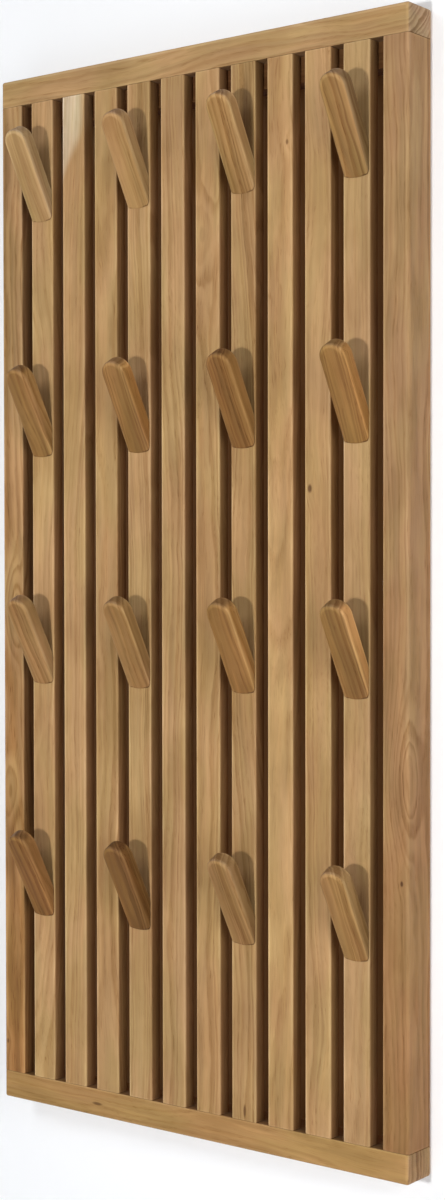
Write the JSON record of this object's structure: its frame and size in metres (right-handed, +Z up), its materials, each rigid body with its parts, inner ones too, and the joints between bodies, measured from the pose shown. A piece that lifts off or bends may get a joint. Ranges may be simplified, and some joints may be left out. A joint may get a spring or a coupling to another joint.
{
  "type": "wall coat rack",
  "caption": "Slatted oak wall coat rack: an upright frame filled with vertical slats, with slanting round-ended pegs in a grid that coats hang behind.",
  "frame": {"origin": "centre of the top rail's back face, in the wall plane", "axes": "+Z up along the slats, +X to the right seen from the front, +Y into the wall; the front and the pegs face -Y"},
  "size_m": [0.518, 0.0872, 1.1],
  "materials": {
    "frame_oak": "satin oiled oak",
    "slat_oak": "satin oiled oak",
    "peg_oak": "satin oiled oak, a shade darker",
    "batten_oak": "sawn and sanded oak, unoiled",
    "zinc_steel": "zinc-plated steel"
  },
  "bodies": {
    "root": {"top_rail": "frame_oak", "bottom_rail": "frame_oak", "left_stile": "frame_oak", "right_stile": "frame_oak", "slat_1": "slat_oak", "slat_2": "slat_oak", "slat_3": "slat_oak", "slat_4": "slat_oak", "slat_5": "slat_oak", "slat_6": "slat_oak", "slat_7": "slat_oak", "slat_8": "slat_oak", "slat_9": "slat_oak", "slat_10": "slat_oak", "peg_row1_col1": "peg_oak", "peg_row1_col2": "peg_oak", "peg_row1_col3": "peg_oak", "peg_row1_col4": "peg_oak", "peg_row2_col1": "peg_oak", "peg_row2_col2": "peg_oak", "peg_row2_col3": "peg_oak", "peg_row2_col4": "peg_oak", "peg_row3_col1": "peg_oak", "peg_row3_col2": "peg_oak", "peg_row3_col3": "peg_oak", "peg_row3_col4": "peg_oak", "peg_row4_col1": "peg_oak", "peg_row4_col2": "peg_oak", "peg_row4_col3": "peg_oak", "peg_row4_col4": "peg_oak", "hanging_batten": "batten_oak", "hanger_plate_1": "zinc_steel", "hanger_plate_2": "zinc_steel", "peg_screw_row1_col1": "zinc_steel", "peg_screw_row1_col2": "zinc_steel", "peg_screw_row1_col3": "zinc_steel", "peg_screw_row1_col4": "zinc_steel", "peg_screw_row2_col1": "zinc_steel", "peg_screw_row2_col2": "zinc_steel", "peg_screw_row2_col3": "zinc_steel", "peg_screw_row2_col4": "zinc_steel", "peg_screw_row3_col1": "zinc_steel", "peg_screw_row3_col2": "zinc_steel", "peg_screw_row3_col3": "zinc_steel", "peg_screw_row3_col4": "zinc_steel", "peg_screw_row4_col1": "zinc_steel", "peg_screw_row4_col2": "zinc_steel", "peg_screw_row4_col3": "zinc_steel", "peg_screw_row4_col4": "zinc_steel", "batten_screw_slat1": "zinc_steel", "batten_screw_slat4": "zinc_steel", "batten_screw_slat7": "zinc_steel", "batten_screw_slat10": "zinc_steel", "hanger_screw_1_1": "zinc_steel", "hanger_screw_1_2": "zinc_steel", "hanger_screw_2_1": "zinc_steel", "hanger_screw_2_2": "zinc_steel"}
  },
  "joints": []
}
